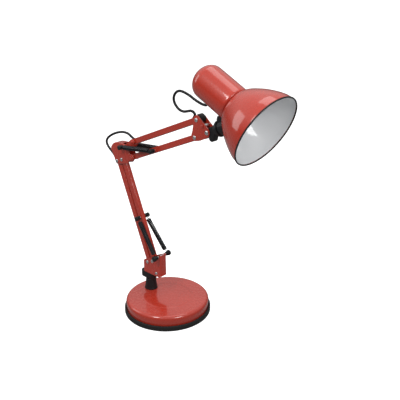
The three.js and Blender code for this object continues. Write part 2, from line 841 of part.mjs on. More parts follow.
const elbowLoop = [
  rearBed(lowerLength - 11, -2.7),
  along(REAR_HIGH, lowerFront, -9.8),
  [-143, 291],
  [-153.5, 299],
  [-161.5, 306],
  [-164.5, 313.5],
  [-160, 321.5],
  [-148, 330],
  [-134.5, 336.2],
  [-121, 340.6],
  [-109, 342.4],
  [-98, 341.5],
  [-90.5, 338.2],
  upperBed(0, overShank),
  upperBed(11, 2),
];
const headLoop = [
  upperBed(upperLength - 16.4, 1),
  upperBed(upperLength - 12.4, 5.5),
  [76.6, 406.8],
  [73.6, 410.6],
  [67.5, 412.2],
  [59.5, 410.4],
  [51, 408.4],
  [42, 409.2],
  [34, 413.6],
  [28, 420.5],
  [26.4, 428.5],
  [30, 436.5],
  [37, 441.6],
  [45, 442.6],
  [54, 441],
  [65, 437.6],
  [74, 433.6],
  [84, 430],
  [94, 427.4],
  along(glandCentre, glandDirection, 6.5),
  along(glandCentre, glandDirection, 4),
  along(glandCentre, glandDirection, 1),
];
place('cord_elbow_loop', tube(inPlane(elbowLoop), CORD_RADIUS, 8, 34), CORD);
place('cord_head_loop', tube(inPlane(headLoop), CORD_RADIUS, 8, 46), CORD);

export default lamp;
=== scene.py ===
import json
import math
import bpy
import numpy as np
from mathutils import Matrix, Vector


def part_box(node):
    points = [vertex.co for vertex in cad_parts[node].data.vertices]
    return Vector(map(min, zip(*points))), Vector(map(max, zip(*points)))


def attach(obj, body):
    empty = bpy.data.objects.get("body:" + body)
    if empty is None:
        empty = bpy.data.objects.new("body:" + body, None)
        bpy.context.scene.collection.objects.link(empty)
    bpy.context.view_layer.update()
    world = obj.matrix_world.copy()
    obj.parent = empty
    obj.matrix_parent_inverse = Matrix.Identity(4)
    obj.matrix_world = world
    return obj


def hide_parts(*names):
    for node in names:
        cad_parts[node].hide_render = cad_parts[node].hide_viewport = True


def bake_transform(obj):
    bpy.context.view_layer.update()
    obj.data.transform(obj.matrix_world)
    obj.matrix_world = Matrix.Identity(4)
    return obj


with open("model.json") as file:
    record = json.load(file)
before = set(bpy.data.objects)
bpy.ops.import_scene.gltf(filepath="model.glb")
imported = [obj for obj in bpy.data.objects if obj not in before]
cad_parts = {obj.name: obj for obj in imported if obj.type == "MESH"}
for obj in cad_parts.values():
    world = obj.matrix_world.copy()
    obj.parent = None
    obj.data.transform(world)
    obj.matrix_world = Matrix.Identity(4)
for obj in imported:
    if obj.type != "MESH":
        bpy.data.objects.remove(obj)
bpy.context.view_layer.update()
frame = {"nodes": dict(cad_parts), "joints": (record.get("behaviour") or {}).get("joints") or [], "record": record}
print("frame loaded:", len(frame["nodes"]), "nodes")

mm = 0.001  # shapes are worked out in millimetres and brought to metres in addPiece
sideways = np.array([0.0, 1.0, 0.0])
upwards = np.array([0.0, 0.0, 1.0])


# ---- camera, light and floor ----

studio = {
    "target": (0.0466, 0.0448, 0.2317),
    "azimuth": 42.8,
    "elevation": 21.45,
    "distance": 1.1586,
    "lens": 55.8,
    "floorColour": (0.8, 0.8, 0.8, 1),
    "floorGlow": 0.72,
    "floorHalf": 40.0,
    "sky": {0.0: 0.5, 0.42: 0.3, 0.53: 0.1, 0.8: 1.0},  # grey against height, 0 below and 1 overhead
    "skyStrength": 0.75,
}


# the camera stands at target + distance * (sin a cos e, -cos a cos e, sin e)
def makeCamera(s):
    turn, rise = math.radians(s["azimuth"]), math.radians(s["elevation"])
    back = np.array([math.sin(turn) * math.cos(rise), -math.cos(turn) * math.cos(rise), math.sin(rise)])
    data = bpy.data.cameras.new("camera")
    data.lens = s["lens"]
    data.clip_start = 0.02
    camera = bpy.data.objects.new("camera", data)
    camera.location = np.array(s["target"]) + s["distance"] * back
    camera.rotation_euler = (math.pi / 2 - rise, 0, turn)
    bpy.context.collection.objects.link(camera)
    bpy.context.scene.camera = camera


# grey of the sky against the height of a direction, from -1 straight down to 1 straight up
def makeSky(s):
    world = bpy.data.worlds.new("studioSky")
    world.use_nodes = True
    nodes, links = world.node_tree.nodes, world.node_tree.links
    nodes.clear()
    where = nodes.new("ShaderNodeTexCoord")
    split = nodes.new("ShaderNodeSeparateXYZ")
    height = nodes.new("ShaderNodeMapRange")
    height.inputs["From Min"].default_value = -1
    ramp = nodes.new("ShaderNodeValToRGB")
    light = nodes.new("ShaderNodeBackground")
    out = nodes.new("ShaderNodeOutputWorld")
    links.new(where.outputs["Generated"], split.inputs[0])
    links.new(split.outputs["Z"], height.inputs["Value"])
    links.new(height.outputs["Result"], ramp.inputs["Fac"])
    stops = ramp.color_ramp.elements
    while len(stops) < len(s["sky"]):
        stops.new(0.5)
    for stop, (place, grey) in zip(stops, s["sky"].items()):
        stop.position = place
        stop.color = (grey, grey, grey, 1)
    links.new(ramp.outputs["Color"], light.inputs["Color"])
    light.inputs["Strength"].default_value = s["skyStrength"]
    links.new(light.outputs[0], out.inputs[0])
    bpy.context.scene.world = world


softboxes = {
    "keyBox": {"at": (0.15, -1.15, 1.35), "to": (0.0, 0.0, 0.25), "size": (0.42, 0.5), "watts": 8},
    "sideBox": {"at": (-1.1, -0.7, 0.9), "to": (0.0, 0.0, 0.25), "size": (0.5, 0.9), "watts": 3},
    "mouthBox": {"at": (1.0, -0.25, 0.75), "to": (0.21, 0.0, 0.4), "size": (0.35, 0.35), "watts": 3.5},
    "topBox": {"at": (0.1, 0.3, 1.6), "to": (0.05, 0.0, 0.2), "size": (1.0, 0.7), "watts": 4},
}


# an area lamp turned so that its back points away from its target
def makeSoftbox(name, s):
    data = bpy.data.lights.new(name, "AREA")
    data.shape = "RECTANGLE"
    data.size, data.size_y = s["size"]
    data.energy = s["watts"]
    box = bpy.data.objects.new(name, data)
    box.location = s["at"]
    away = np.array(s["at"]) - np.array(s["to"])
    rise = math.atan2(np.hypot(away[0], away[1]), away[2])
    box.rotation_euler = (rise, 0, math.atan2(away[1], away[0]) + math.pi / 2)
    bpy.context.collection.objects.link(box)


makeCamera(studio)
makeSky(studio)
for name, box in softboxes.items():
    makeSoftbox(name, box)
bpy.context.scene.view_settings.view_transform = "Standard"
print("camera, sky and softboxes placed")


# ---- shapes as whole arrays ----

# a vector divided by its length
def unit(v):
    v = np.asarray(v, float)
    return v / np.linalg.norm(v)


# corners of a polyline cut to arcs: each becomes a curve of second degree that starts and ends at reach
# from it
def softCorners(points, reach, steps=4, closed=True):
    p = np.asarray(points, float)
    reach = np.broadcast_to(np.asarray(reach, float), (len(p),))
    toBefore, toAfter = np.roll(p, 1, 0) - p, np.roll(p, -1, 0) - p
    lengthBefore = np.linalg.norm(toBefore, axis=1, keepdims=True)
    lengthAfter = np.linalg.norm(toAfter, axis=1, keepdims=True)
    cut = np.minimum(reach[:, None], np.minimum(lengthBefore, lengthAfter) * 0.49)
    start = p + toBefore / lengthBefore * cut
    end = p + toAfter / lengthAfter * cut
    t = np.linspace(0, 1, steps + 1)[None, :, None]
    curve = start[:, None] * (1 - t) ** 2 + p[:, None] * 2 * t * (1 - t) + end[:, None] * t ** 2
    if closed:
        return curve.reshape(-1, p.shape[1])
    return np.vstack([p[:1], curve[1:-1].reshape(-1, p.shape[1]), p[-1:]])


# points of an arc: centre + radius * (cos a, sin a), a in degrees from first to last
def arc(centre, radius, first, last, count=12):
    a = np.radians(np.linspace(first, last, count))
    return np.asarray(centre, float)[:2] + radius * np.stack([np.cos(a), np.sin(a)], 1)


# quads of a grid of rows by columns, closed round either way when asked
def gridQuads(rows, columns, roundRows=False, roundColumns=False):
    i, j = np.meshgrid(np.arange(rows if roundRows else rows - 1),
                       np.arange(columns if roundColumns else columns - 1), indexing="ij")
    i, j = i.ravel(), j.ravel()
    nextI, nextJ = (i + 1) % rows, (j + 1) % columns
    return np.stack([i * columns + j, i * columns + nextJ, nextI * columns + nextJ, nextI * columns + j], 1)


# several closed parts to one list of points and faces: points that fall together are merged, and each part is
# turned outwards by the sign of its volume, the sum of a . (b x c) over its triangles
def joinParts(parts):
    allPoints, allFaces, offset = [], [], 0
    for points, faces in parts:
        points = np.asarray(points, float).reshape(-1, 3)
        _, first, inverse = np.unique(np.round(points, 5), axis=0, return_index=True, return_inverse=True)
        inverse = inverse.ravel()
        points = points[first]
        renumbered = [inverse[np.asarray(f)] for f in faces]
        merged = [[a for k, a in enumerate(f) if a != f[k - 1]] for f in renumbered]
        merged = [f for f in merged if len(f) > 2]
        corner = np.array([(f[0], f[k], f[k + 1]) for f in merged for k in range(1, len(f) - 1)])
        a, b, c = points[corner[:, 0]], points[corner[:, 1]], points[corner[:, 2]]
        if np.einsum("ij,ij->i", a, np.cross(b, c)).sum() < 0:
            merged = [f[::-1] for f in merged]
        allPoints.append(points)
        allFaces += [[int(k) + offset for k in f] for f in merged]
        offset += len(points)
    return np.vstack(allPoints), allFaces


# joins the parts into one mesh in metres, gives it its finish, hangs it on its body and hides the nodes it stands
# for
def addPiece(name, parts, material, body=None, nodes=(), sharp=38, bevel=0.0, tint=None):
    points, faces = joinParts(parts)
    mesh = bpy.data.meshes.new(name)
    mesh.from_pydata((points * mm).tolist(), [], faces)
    for m in material if isinstance(material, tuple) else (material,):
        mesh.materials.append(m)
    if tint is not None:
        mesh.polygons.foreach_set("material_index", tint(points, faces))
    mesh.polygons.foreach_set("use_smooth", np.ones(len(mesh.polygons), bool))
    mesh.set_sharp_from_angle(angle=math.radians(sharp))
    mesh.update()
    piece = bpy.data.objects.new(name, mesh)
    bpy.context.collection.objects.link(piece)
    if bevel:
        edge = piece.modifiers.new("softEdges", "BEVEL")
        edge.width = bevel * mm
        edge.segments = 2
        edge.limit_method = "ANGLE"
        edge.angle_limit = math.radians(40)
    if body:
        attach(piece, body)
    if nodes:
        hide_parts(*nodes)
    return piece


# a profile of (radius, height) turned round an axis: point = origin + axis * height + around(a) * radius
def turned(profile, origin, axis, segments=96, wave=None):
    profile = np.asarray(profile, float)
    axis = unit(axis)
    side = np.array([1.0, 0, 0]) if abs(axis[1]) > 0.9 else unit(np.cross(sideways, axis))
    other = np.cross(axis, side)
    angle = np.arange(segments) / segments * 2 * np.pi
    radius = profile[:, :1] + 0 * angle[None]
    height = profile[:, 1:] + 0 * angle[None]
    if wave:
        radius, height = wave(radius, height, angle[None])
    around = side * np.cos(angle)[:, None] + other * np.sin(angle)[:, None]
    points = np.asarray(origin, float) + axis * height[..., None] + around[None] * radius[..., None]
    ring = bool(np.allclose(profile[0], profile[-1]))
    rows = len(profile) - 1 if ring else len(profile)
    return points[:rows], gridQuads(rows, segments, roundRows=ring, roundColumns=True)


# (u, v) becomes x and z, and the depth becomes y
def inArmPlane(uv, depth):
    return np.stack([uv[..., 0], depth, uv[..., 1]], -1)


# (u, v) becomes x and y, and the depth becomes z
def lyingFlat(uv, depth):
    return np.stack([uv[..., 0], uv[..., 1], depth], -1)


# a flat outline with thickness from low to high; both edges are rounded: a ring steps in by e * (1 - sin a)
# while it rises by e * (1 - cos a)
def plate(outline, low, high, lowEdge=0.35, highEdge=0.35, place=inArmPlane):
    outline = np.asarray(outline, float)
    tangent = np.roll(outline, -1, 0) - np.roll(outline, 1, 0)
    tangent /= np.maximum(np.linalg.norm(tangent, axis=1, keepdims=True), 1e-9)
    x, z = outline[:, 0], outline[:, 1]
    area = np.sum(x * np.roll(z, -1) - z * np.roll(x, -1))
    inward = np.stack([-tangent[:, 1], tangent[:, 0]], 1) * np.sign(area)
    a = np.linspace(0, np.pi / 2, 5)
    step = np.concatenate([lowEdge * (1 - np.sin(a)), highEdge * (1 - np.sin(a[::-1]))])
    depth = np.concatenate([low + lowEdge * (1 - np.cos(a)), high - highEdge * (1 - np.cos(a[::-1]))])
    ring = outline[None] + inward[None] * step[:, None, None]
    points = place(ring, depth[:, None] + 0 * ring[..., 0])
    n = len(outline)
    faces = gridQuads(len(step), n, roundColumns=True).tolist()
    faces.append(list(range(n))[::-1])
    faces.append(list(range((len(step) - 1) * n, len(step) * n)))
    return points, faces


# sheet metal with a folded section: outer and inner run on the two sides of the sheet, and at each
# point of the section the sheet reaches from low to high along the third direction, which place knows
def foldedSheet(outer, inner, low, high, place, steps=2):
    n = len(outer)
    section = np.vstack([outer, inner[::-1]])
    lows = np.concatenate([low, low[::-1]])
    highs = np.concatenate([high, high[::-1]])
    t = np.linspace(0, 1, steps)[:, None]
    points = place(np.broadcast_to(section[None], (steps, 2 * n, 2)), lows[None] * (1 - t) + highs[None] * t)
    faces = gridQuads(steps, 2 * n, roundColumns=True).tolist()
    last = (steps - 1) * 2 * n
    faces += [[k, 2 * n - 1 - k, 2 * n - 2 - k, k + 1] for k in range(n - 1)]
    faces += [[last + k, last + k + 1, last + 2 * n - 2 - k, last + 2 * n - 1 - k] for k in range(n - 1)]
    return points, faces


# a line moved sideways by a distance: point + distance * normal, in two dimensions
def shifted(line, distance):
    line = np.asarray(line, float)
    tangent = np.gradient(line, axis=0)
    tangent /= np.linalg.norm(tangent, axis=1, keepdims=True)
    return line + distance * np.stack([-tangent[:, 1], tangent[:, 0]], 1)


# a centripetal spline through given points, sampled evenly along its length
def smoothRoute(points, count):
    p = np.asarray(points, float)
    p = np.vstack([2 * p[0] - p[1], p, 2 * p[-1] - p[-2]])
    knots = np.concatenate([[0], np.cumsum(np.sqrt(np.linalg.norm(np.diff(p, axis=0), axis=1)))])
    t = np.linspace(knots[1], knots[-2], count * 8)
    k = np.clip(np.searchsorted(knots, t, side="right") - 1, 1, len(p) - 3)
    t0, t1, t2, t3 = (knots[k + d][:, None] for d in (-1, 0, 1, 2))
    p0, p1, p2, p3 = (p[k + d] for d in (-1, 0, 1, 2))
    t = t[:, None]
    a1 = (t1 - t) / (t1 - t0) * p0 + (t - t0) / (t1 - t0) * p1
    a2 = (t2 - t) / (t2 - t1) * p1 + (t - t1) / (t2 - t1) * p2
    a3 = (t3 - t) / (t3 - t2) * p2 + (t - t2) / (t3 - t2) * p3
    b1 = (t2 - t) / (t2 - t0) * a1 + (t - t0) / (t2 - t0) * a2
    b2 = (t3 - t) / (t3 - t1) * a2 + (t - t1) / (t3 - t1) * a3
    line = (t2 - t) / (t2 - t1) * b1 + (t - t1) / (t2 - t1) * b2
    run = np.concatenate([[0], np.cumsum(np.linalg.norm(np.diff(line, axis=0), axis=1))])
    even = np.linspace(0, run[-1], count)
    return np.stack([np.interp(even, run, line[:, d]) for d in range(3)], 1), run[-1]


# a round wire along a line: point = line + (normal * cos a + binormal * sin a) * radius; the normals are the
# line's own, turned as little as they can be, and each end closes on a point
def wire(line, radius, sides=16):
    line = np.asarray(line, float)
    tangent = np.gradient(line, axis=0)
    tangent /= np.linalg.norm(tangent, axis=1, keepdims=True)
    normals = np.empty_like(tangent)
    n = np.cross(tangent[0], [0.31, 0.83, 0.46])
    for k, t in enumerate(tangent):
        n = n - t * np.dot(n, t)
        n = n / np.linalg.norm(n)
        normals[k] = n
    binormals = np.cross(tangent, normals)
    angle = np.arange(sides) / sides * 2 * np.pi
    around = normals[:, None] * np.cos(angle)[None, :, None] + binormals[:, None] * np.sin(angle)[None, :,
                                                                                                  None]
    shrink = np.concatenate([[0, 0.8], np.ones(len(line)), [0.8, 0]])
    line = np.vstack([line[:1], line[:1], line, line[-1:], line[-1:]])
    around = np.concatenate([around[:1], around[:1], around, around[-1:], around[-1:]])
    points = line[:, None] + around * (radius * shrink)[:, None, None]
    return points, gridQuads(len(line), sides, roundColumns=True)


# a profile with its corners softened, for turning
def softProfile(points, reach, steps=3, closed=True):
    p = softCorners(points, reach, steps, closed)
    return np.vstack([p, p[:1]]) if closed else p


# ---- materials ----

# a new material with its shader and the object's own coordinates
def startMaterial(name):
    material = bpy.data.materials.new(name)
    material.use_nodes = True
    nodes, links = material.node_tree.nodes, material.node_tree.links
    shader = nodes["Principled BSDF"]
    where = nodes.new("ShaderNodeTexCoord")
    return material, nodes, links, shader, where.outputs["Object"]


# cloudy noise between 0 and 1 at so many swells to the metre
def addNoise(nodes, links, where, scale, detail=3.0, rough=0.5):
    noise = nodes.new("ShaderNodeTexNoise")
    noise.inputs["Scale"].default_value = scale
    noise.inputs["Detail"].default_value = detail
    noise.inputs["Roughness"].default_value = rough
    links.new(where, noise.inputs["Vector"])
    return noise.outputs["Fac"]


# a value between two limits brought in a straight line to between two others
def addRange(nodes, links, value, low, high, fromLow=0.3, fromHigh=0.7):
    span = nodes.new("ShaderNodeMapRange")
    span.inputs["From Min"].default_value = fromLow
    span.inputs["From Max"].default_value = fromHigh
    span.inputs["To Min"].default_value = low
    span.inputs["To Max"].default_value = high
    links.new(value, span.inputs["Value"])
    return span.outputs["Result"]


# first * (1 - share) + second * share
def addMix(nodes, links, share, first, second):
    mix = nodes.new("ShaderNodeMix")
    mix.data_type = "RGBA"
    mix.inputs["A"].default_value = first
    mix.inputs["B"].default_value = second
    links.new(share, mix.inputs["Factor"])
    return mix.outputs["Result"]


# the surface normal leant by the slope of a height
def addBump(nodes, links, height, distance, strength, before=None):
    bump = nodes.new("ShaderNodeBump")
    bump.inputs["Strength"].default_value = strength
    bump.inputs["Distance"].default_value = distance
    links.new(height, bump.inputs["Height"])
    if before:
        links.new(before, bump.inputs["Normal"])
    return bump.outputs["Normal"]


enamel = {
    "light": (0.5, 0.04, 0.02, 1),
    "deep": (0.42, 0.03, 0.016, 1),
    "roughLow": 0.22,
    "roughHigh": 0.32,
    "peelScale": 900,
    "peelHeight": 0.00004,
}


# stove enamel: slow drift of colour, fine orange peel in the coat, faint handling marks in the gloss
def makeEnamel(name, e):
    material, nodes, links, shader, where = startMaterial(name)
    drift = addNoise(nodes, links, where, 22, 4)
    links.new(addMix(nodes, links, drift, e["light"], e["deep"]), shader.inputs["Base Color"])
    marks = addNoise(nodes, links, where, 140, 5, 0.65)
    links.new(addRange(nodes, links, marks, e["roughLow"], e["roughHigh"]), shader.inputs["Roughness"])
    peel = addNoise(nodes, links, where, e["peelScale"], 2)
    links.new(addBump(nodes, links, peel, e["peelHeight"], 0.35), shader.inputs["Normal"])
    shader.inputs["Specular IOR Level"].default_value = 0.3
    shader.inputs["Coat Weight"].default_value = 1.0
    shader.inputs["Coat Roughness"].default_value = 0.03
    shader.inputs["IOR"].default_value = 1.5
    return material


whiteEnamel = {
    "light": (0.84, 0.85, 0.86, 1),
    "deep": (0.78, 0.79, 0.81, 1),
    "roughLow": 0.3,
    "roughHigh": 0.4,
    "peelScale": 1100,
    "peelHeight": 0.00005,
}

plastics = {
    "satinBlack": {"light": (0.014, 0.014, 0.016, 1), "deep": (0.007, 0.007, 0.008, 1), "low": 0.36,
                   "high": 0.52,
                   "grain": 2600, "height": 0.00006},
    "rubberBlack": {"light": (0.018, 0.018, 0.018, 1), "deep": (0.01, 0.01, 0.01, 1), "low": 0.55,
                    "high": 0.75,
                    "grain": 1500, "height": 0.00008},
    "cordBlack": {"light": (0.012, 0.012, 0.013, 1), "deep": (0.006, 0.006, 0.007, 1), "low": 0.42,
                  "high": 0.58,
                  "grain": 1900, "height": 0.00005},
    "holderBlack": {"light": (0.03, 0.028, 0.027, 1), "deep": (0.02, 0.018, 0.017, 1), "low": 0.25,
                    "high": 0.4,
                    "grain": 1200, "height": 0.00004},
}


# moulded plastic and rubber: fine grain, a little dust in the colour, uneven sheen
def makePlastic(name, p):
    material, nodes, links, shader, where = startMaterial(name)
    dust = addNoise(nodes, links, where, 90, 6, 0.7)
    links.new(addMix(nodes, links, dust, p["light"], p["deep"]), shader.inputs["Base Color"])
    sheen = addNoise(nodes, links, where, 260, 3)
    links.new(addRange(nodes, links, sheen, p["low"], p["high"]), shader.inputs["Roughness"])
    grain = addNoise(nodes, links, where, p["grain"], 2)
    links.new(addBump(nodes, links, grain, p["height"], 0.4), shader.inputs["Normal"])
    shader.inputs["Specular IOR Level"].default_value = 0.3
    return material


metals = {
    "zincSteel": {"light": (0.72, 0.72, 0.72, 1), "deep": (0.5, 0.5, 0.51, 1), "low": 0.22, "high": 0.4,
                  "scale": 420},
    "springWire": {"light": (0.07, 0.072, 0.078, 1), "deep": (0.02, 0.021, 0.023, 1), "low": 0.25,
                   "high": 0.45,
                   "scale": 700},
    "brass": {"light": (0.7, 0.54, 0.26, 1), "deep": (0.5, 0.36, 0.15, 1), "low": 0.25, "high": 0.45,
              "scale": 300},
    "castIron": {"light": (0.12, 0.12, 0.125, 1), "deep": (0.05, 0.05, 0.052, 1), "low": 0.55, "high": 0.8,
                 "scale": 500},
}


# rolled or plated metal: patches of stain, uneven wear and fine pits
def makeMetal(name, m):
    material, nodes, links, shader, where = startMaterial(name)
    stain = addNoise(nodes, links, where, m["scale"] * 0.4, 5, 0.6)
    links.new(addMix(nodes, links, stain, m["light"], m["deep"]), shader.inputs["Base Color"])
    wear = addNoise(nodes, links, where, m["scale"], 4)
    links.new(addRange(nodes, links, wear, m["low"], m["high"]), shader.inputs["Roughness"])
    pits = addNoise(nodes, links, where, m["scale"] * 3, 3)
    links.new(addBump(nodes, links, pits, 0.00005, 0.3), shader.inputs["Normal"])
    shader.inputs["Metallic"].default_value = 1.0
    return material


redPaint = makeEnamel("redEnamel", enamel)
whitePaint = makeEnamel("whiteEnamel", whiteEnamel)
satinBlack = makePlastic("satinBlackPlastic", plastics["satinBlack"])
rubberBlack = makePlastic("blackRubber", plastics["rubberBlack"])
cordBlack = makePlastic("cordJacket", plastics["cordBlack"])
holderBlack = makePlastic("holderPlastic", plastics["holderBlack"])
zincSteel = makeMetal("zincSteel", metals["zincSteel"])
springWire = makeMetal("springWire", metals["springWire"])
brass = makeMetal("brass", metals["brass"])
castIron = makeMetal("castIron", metals["castIron"])
print("materials made")

finishOfSlot = {
    "red_paint": redPaint,
    "black_rubber": rubberBlack,
    "black_plastic": satinBlack,
    "cast_iron": castIron,
    "steel": zincSteel,
    "spring_steel": springWire,
    "brass": brass,
    "cord_jacket": cordBlack,
}
for part in frame["record"]["subparts"]:
    node = frame["nodes"][part["node"]]
    node.data.materials.clear()
    node.data.materials.append(finishOfSlot[part["material_slot"]])

# ---- places taken from the frame, in millimetres ----

pivot = {j["name"]: np.array(j["pos_m"], float)[[0, 2]] / mm for j in frame["joints"]}


# the middle of a node's box, as x and z
def middle(node):
    low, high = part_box(node)
    return np.array([(low[0] + high[0]) / 2, (low[2] + high[2]) / 2]) / mm


# a point of the arm plane, as x, y and z
def flat(p, y=0.0):
    return np.array([p[0], y, p[1]], float)


rearLow, frontLow, rearHigh = pivot["lower_arm"], pivot["front_bar_turn"], pivot["elbow_level"]
elbowLow, elbowHigh = pivot["lower_tube_turn"], pivot["upper_arm"]
headHigh, tilt = pivot["head_level"], pivot["head_tilt"]
frontHigh = frontLow + rearHigh - rearLow
headLow = elbowLow + headHigh - elbowHigh
footPin, barPin = middle("foot_spring_pin"), middle("bar_spring_pin")
elbowPin, tubePin = middle("elbow_spring_pin"), middle("tube_spring_pin")
bracketRivet, headRivet = middle("socket_rivet"), middle("head_spacer")
postX = middle("post_sleeve")[0]
lowerDirection, upperDirection = unit(rearHigh - rearLow), unit(headHigh - elbowHigh)
lowerFront = np.array([lowerDirection[1], -lowerDirection[0]])
upperTop = np.array([-upperDirection[1], upperDirection[0]])
lowerLength, upperLength = np.linalg.norm(rearHigh - rearLow), np.linalg.norm(headHigh - elbowHigh)


# the highest point of a node
def boxTop(node):
    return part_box(node)[1][2] / mm


# the lowest point of a node
def boxLow(node):
    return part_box(node)[0][2] / mm


# ---- base ----

base = {
    "coverRadius": 81.5,
    "coverEdge": 7.0,
    "wall": 1.4,
    "padRadius": 47.0,  # the faint raised round in the middle of the top
    "padHeight": 0.5,
    "ringRadius": 85.0,
    "ringHeight": 10.0,
    "sole": 2.3,
}


# pressed cover: a quarter circle round the edge, a low raised round on top; the rubber ring grips it
def makeBase(b):
    top, foot = boxTop("base_cover"), boxLow("base_cover")
    edge = arc((b["coverRadius"] - b["coverEdge"], top - b["padHeight"] - b["coverEdge"]), b["coverEdge"],
               0, 90, 18)
    rise = softCorners([edge[-1], (b["padRadius"] + 1.2, top - b["padHeight"]), (b["padRadius"], top),
                        (0, top)],
                       0.6, 4, closed=False)
    inside = [(0, top - 2), (b["coverRadius"] - 8, top - 2.2), (b["coverRadius"] - b["wall"], top - 8)]
    cover = np.vstack([[(b["coverRadius"] - b["wall"], foot), (b["coverRadius"] - 0.3, foot),
                        (b["coverRadius"], foot + 0.4)], edge[:-1], rise, inside,
                       [(b["coverRadius"] - b["wall"], foot)]])
    addPiece("baseCover", [turned(cover, (0, 0, 0), upwards, 192)], redPaint, "base", ["base_cover"])
    r, h = b["ringRadius"], b["ringHeight"]
    ring = softProfile([(0.01, 0), (r, 0), (r, h), (b["coverRadius"] + 0.3, h),
                        (b["coverRadius"] + 0.3, b["sole"]),
                        (0.01, b["sole"])], [0, 1.3, 1.5, 0.5, 0, 0], 5)
    addPiece("baseRing", [turned(ring, (0, 0, 0), upwards, 192)], rubberBlack, "base", ["base_rim_ring"])


post = {"high": 10.0, "bore": 5.0}


# a sleeve that narrows upwards from a foot flange
def makePost(p):
    low, high = boxLow("post_sleeve"), boxTop("post_sleeve")
    profile = softProfile(
        [(p["bore"], low), (12.8, low), (12.8, low + 1.8), (12.2, low + 3), (p["high"], high - 2.4),
         (p["high"] - 0.2, high), (p["bore"], high)],
        [0, 0.3, 0.8, 2, 4, 1.2, 0.3], 4)
    addPiece("postSleeve", [turned(profile, (postX, 0, 0), upwards, 96)], satinBlack, "base", ["post_sleeve"])


makeBase(base)
makePost(post)
print("base and post made")


# ---- turning socket and foot bracket ----

foot = {
    "socketBack": -62.0,
    "socketFront": -42.0,
    "socketRadius": 8.0,
    "socketLow": 52.3,
    "socketTop": 66.0,
    "tongue": 6.4,
    "cheek": 8.2,  # half of the width over the cheeks
    "sheet": 1.5,
    "fold": 2.4,  # outer radius of the two folds
    "back": -57.5,
    "front": -9.2,
    "top": 115.3,
}


# a block with two round ends and a tongue that reaches into the bracket
def makeSocket(f):
    outline = np.vstack([arc((f["socketFront"], 0), f["socketRadius"], -90, 90, 24),
                         arc((f["socketBack"], 0), f["socketRadius"], 90, 270, 24)])
    block = plate(outline, f["socketLow"], f["socketTop"], 1.0, 0.8, lyingFlat)
    tongue = plate(softCorners([(-46, 60), (-35.5, 60), (-33, 66.6), (-14, 66.6), (-14, 79), (-27, 79),
                                (-33, 73),
                                (-37, 66), (-46, 66)], 1.5), -f["tongue"], f["tongue"], 0.6, 0.6)
    addPiece("swivelSocket", [block, tongue], satinBlack, "foot", ["swivel_socket"])


# the sheet runs up one cheek, round the front and down the other; its height is a function of x
def makeFootBracket(f):
    fold, half = f["fold"], f["cheek"]
    cheekX = np.concatenate([f["back"] + 3.5 * np.linspace(0, 1, 9) ** 2,
                             np.linspace(f["back"] + 6, f["front"] - fold, 14)])
    corner = arc((f["front"] - fold, -half + fold), fold, -90, 0, 9)
    near = np.vstack([np.stack([cheekX, -half + 0 * cheekX], 1), corner[1:]])
    outer = np.vstack([near, near[::-1] * [1, -1]])
    inner = shifted(outer, f["sheet"])
    x = outer[:, 0]
    ground = 66.3
    low = np.interp(x, [f["back"], f["back"] + 1.5, f["front"] - 4, f["front"]],
                    [ground + 1.5, ground, ground, ground + 3])
    high = np.interp(x, [f["back"], f["back"] + 0.5, f["back"] + 1.6, f["back"] + 3.6, -14, f["front"] - 2,
                         f["front"]],
                     [90.0, 91.4, 92.6, 94.2, 114.4, f["top"], f["top"] - 1.0])
    sheet = foldedSheet(outer, inner, low, high, lambda uv,
                        reach: np.stack([uv[..., 0], uv[..., 1], reach], -1), 2)
    addPiece("footBracket", [sheet], redPaint, "foot", ["foot_bracket"], 30, 0.25)


# a rivet across a pair of cheeks: a shank with a low dome at each end, height = seat + h * sqrt(1 - (r
# / R)^2)
rivets = {
    "socket_rivet": ("foot", bracketRivet, 3.4, zincSteel, "steel"),
    "rear_bar_foot_rivet": ("foot", rearLow, 3.6, zincSteel, "steel"),
    "front_bar_foot_rivet": ("foot", frontLow, 3.6, zincSteel, "steel"),
    "rear_bar_top_rivet": ("elbow", rearHigh, 3.6, zincSteel, "steel"),
    "front_bar_top_rivet": ("elbow", frontHigh, 3.6, zincSteel, "steel"),
    "lower_tube_elbow_rivet": ("elbow", elbowLow, 3.4, redPaint, "red_paint"),
    "upper_tube_elbow_rivet": ("elbow", elbowHigh, 3.4, redPaint, "red_paint"),
    "lower_tube_head_rivet": ("head", headLow, 3.6, zincSteel, "steel"),
    "upper_tube_head_rivet": ("head", headHigh, 3.6, zincSteel, "steel"),
    "head_spacer_rivet": ("head", headRivet, 3.2, redPaint, "red_paint"),
}
rivetDome = 1.6
rivetShank = 2.0


# the profile is mirrored in the arm plane, then turned about the rivet's axis
def makeRivet(name, body, centre, radius, material, slotName):
    seat = foot["cheek"] + 0.3
    a = np.linspace(0, np.pi / 2, 10)
    dome = np.stack([radius * np.cos(a), seat + 0.25 + (rivetDome - 0.25) * np.sin(a)], 1)
    half = np.vstack([[(rivetShank, seat), (radius, seat)], dome])
    profile = np.vstack([half[::-1] * [1, -1], half])
    addPiece(name.replace("_", "") + "Head", [turned(profile, flat(centre), sideways, 32)], material, body,
             [name])


makeSocket(foot)
makeFootBracket(foot)
for rivetName, rivet in rivets.items():
    makeRivet(rivetName, *rivet)
print("socket, foot bracket and rivets made")


# ---- channel arms ----

channel = {"width": 9.0, "depth": 11.0, "sheet": 1.1, "fold": 1.9}
bars = {
    "rearBar": ("rear_bar", "rear_bar", rearLow, rearHigh, lowerFront, (3, 3)),
    "frontBar": ("front_bar", "front_bar", frontLow, frontHigh, lowerFront, (3, 3)),
    "lowerTube": ("lower_tube", "lower_tube", elbowLow, headLow, -upperTop, (3, 3)),
    "upperTube": ("upper_tube", "upper_tube", elbowHigh, headHigh, -upperTop, (3, 11)),
}


